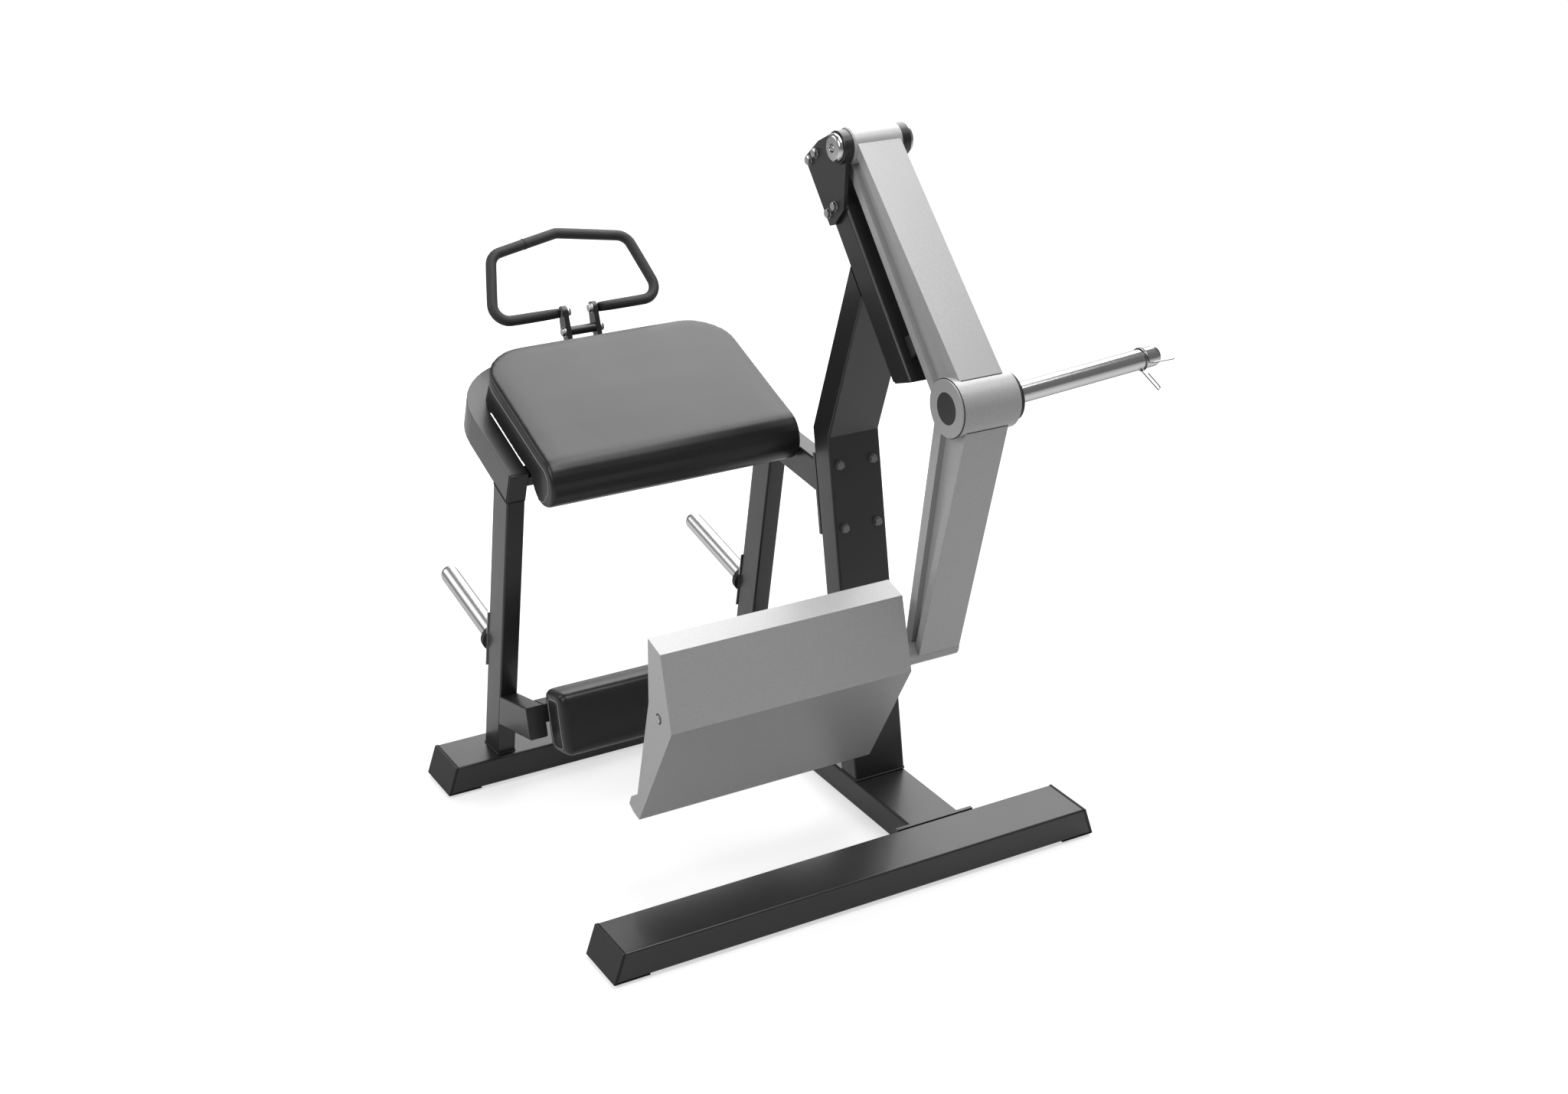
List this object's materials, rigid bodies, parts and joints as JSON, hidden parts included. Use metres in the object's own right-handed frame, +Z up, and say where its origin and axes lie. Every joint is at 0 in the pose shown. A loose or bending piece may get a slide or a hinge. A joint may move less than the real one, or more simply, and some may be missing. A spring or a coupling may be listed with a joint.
{
  "type": "glute kickback machine",
  "caption": "Strength machine with an inclined chest pad, handle and knee rest, and a plate-loaded swing arm whose tilting foot plate is pushed back and up.",
  "frame": {"origin": "middle of the underside of the box round the whole machine, on the floor it stands on", "axes": "+Z up; +Y from the swing arm towards the pads, the way the user faces; +X to the user's right, the side of the mast and the weight horn"},
  "size_m": [1.5028, 1.4388, 1.7846],
  "materials": {
    "charcoal_powder_coat": "satin powder coat with a fine speckle",
    "silver_paint": "satin silver metallic paint",
    "chrome": "polished",
    "bright_zinc": "bright zinc plating",
    "bearing_steel": "ground",
    "black_rubber": "matt",
    "black_plastic": "matt",
    "nylon": "matt",
    "grey_upholstery": "fine-grained dark grey synthetic cover",
    "plywood": "unfinished, hidden under the cushion",
    "grip_sleeve": "matt foam sleeve"
  },
  "bodies": {
    "frame": {"front_beam": "charcoal_powder_coat", "rear_beam": "charcoal_powder_coat", "spine_tube": "charcoal_powder_coat", "foot_cap_front_left": "black_rubber", "foot_cap_front_right": "black_rubber", "foot_cap_rear_left": "black_rubber", "foot_cap_rear_right": "black_rubber", "mast_lower": "charcoal_powder_coat", "mast_upper": "charcoal_powder_coat", "boom": "charcoal_powder_coat", "boom_end_cap": "black_plastic", "bumper_block": "black_rubber", "pivot_plate_left": "charcoal_powder_coat", "pivot_plate_right": "charcoal_powder_coat", "pivot_bearing_left": "bearing_steel", "pivot_bearing_right": "bearing_steel", "pivot_cap_left": "chrome", "pivot_cap_right": "chrome", "pivot_plate_bolt_1": "bright_zinc", "pivot_plate_bolt_2": "bright_zinc", "pivot_plate_bolt_3": "bright_zinc", "pivot_plate_bolt_4": "bright_zinc", "leg_left": "charcoal_powder_coat", "leg_right": "charcoal_powder_coat", "pad_rail": "charcoal_powder_coat", "pad_cross_front": "charcoal_powder_coat", "pad_cross_rear": "charcoal_powder_coat", "link_tube": "charcoal_powder_coat", "mast_bolt_1": "bright_zinc", "mast_bolt_2": "bright_zinc", "mast_bolt_3": "bright_zinc", "mast_bolt_4": "bright_zinc", "torso_board": "plywood", "torso_pad": "grey_upholstery", "handle_link_left": "charcoal_powder_coat", "handle_link_right": "charcoal_powder_coat", "handle_cross_bar": "charcoal_powder_coat", "handle_loop": "grip_sleeve", "knee_bracket_left": "charcoal_powder_coat", "knee_bracket_right": "charcoal_powder_coat", "knee_cross_tube": "charcoal_powder_coat", "knee_pad": "grey_upholstery", "storage_horn_left": "chrome", "storage_horn_right": "chrome", "storage_collar_left": "black_rubber", "storage_collar_right": "black_rubber"},
    "swing_arm": {"pivot_hub": "silver_paint", "pivot_shaft": "bearing_steel", "upper_arm": "silver_paint", "elbow_tube": "silver_paint", "elbow_plug": "black_plastic", "lower_arm": "silver_paint", "pedal_tube": "silver_paint", "weight_horn": "chrome", "horn_collar": "black_rubber"},
    "foot_plate": {"foot_shell": "silver_paint", "foot_tread": "silver_paint", "foot_bush_left": "nylon", "foot_bush_right": "nylon"},
    "collar": {"spring_collar": "bright_zinc"}
  },
  "joints": [
    {"name": "arm_swing", "type": "hinge", "parent": "frame", "child": "swing_arm", "pos_m": [0.22641, -0.16443, 1.74068], "axis": [-1, 0, 0], "range_deg": [0, 60]},
    {"name": "foot_plate_tilt", "type": "hinge", "parent": "swing_arm", "child": "foot_plate", "pos_m": [-0.19959, -0.48471, 0.55083], "axis": [1, 0, 0], "range_deg": [0, 30]},
    {"name": "collar_slide", "type": "slide", "parent": "swing_arm", "child": "collar", "axis": [-0.9979, 0, -0.0651], "range_m": [0, 0.33]}
  ]
}
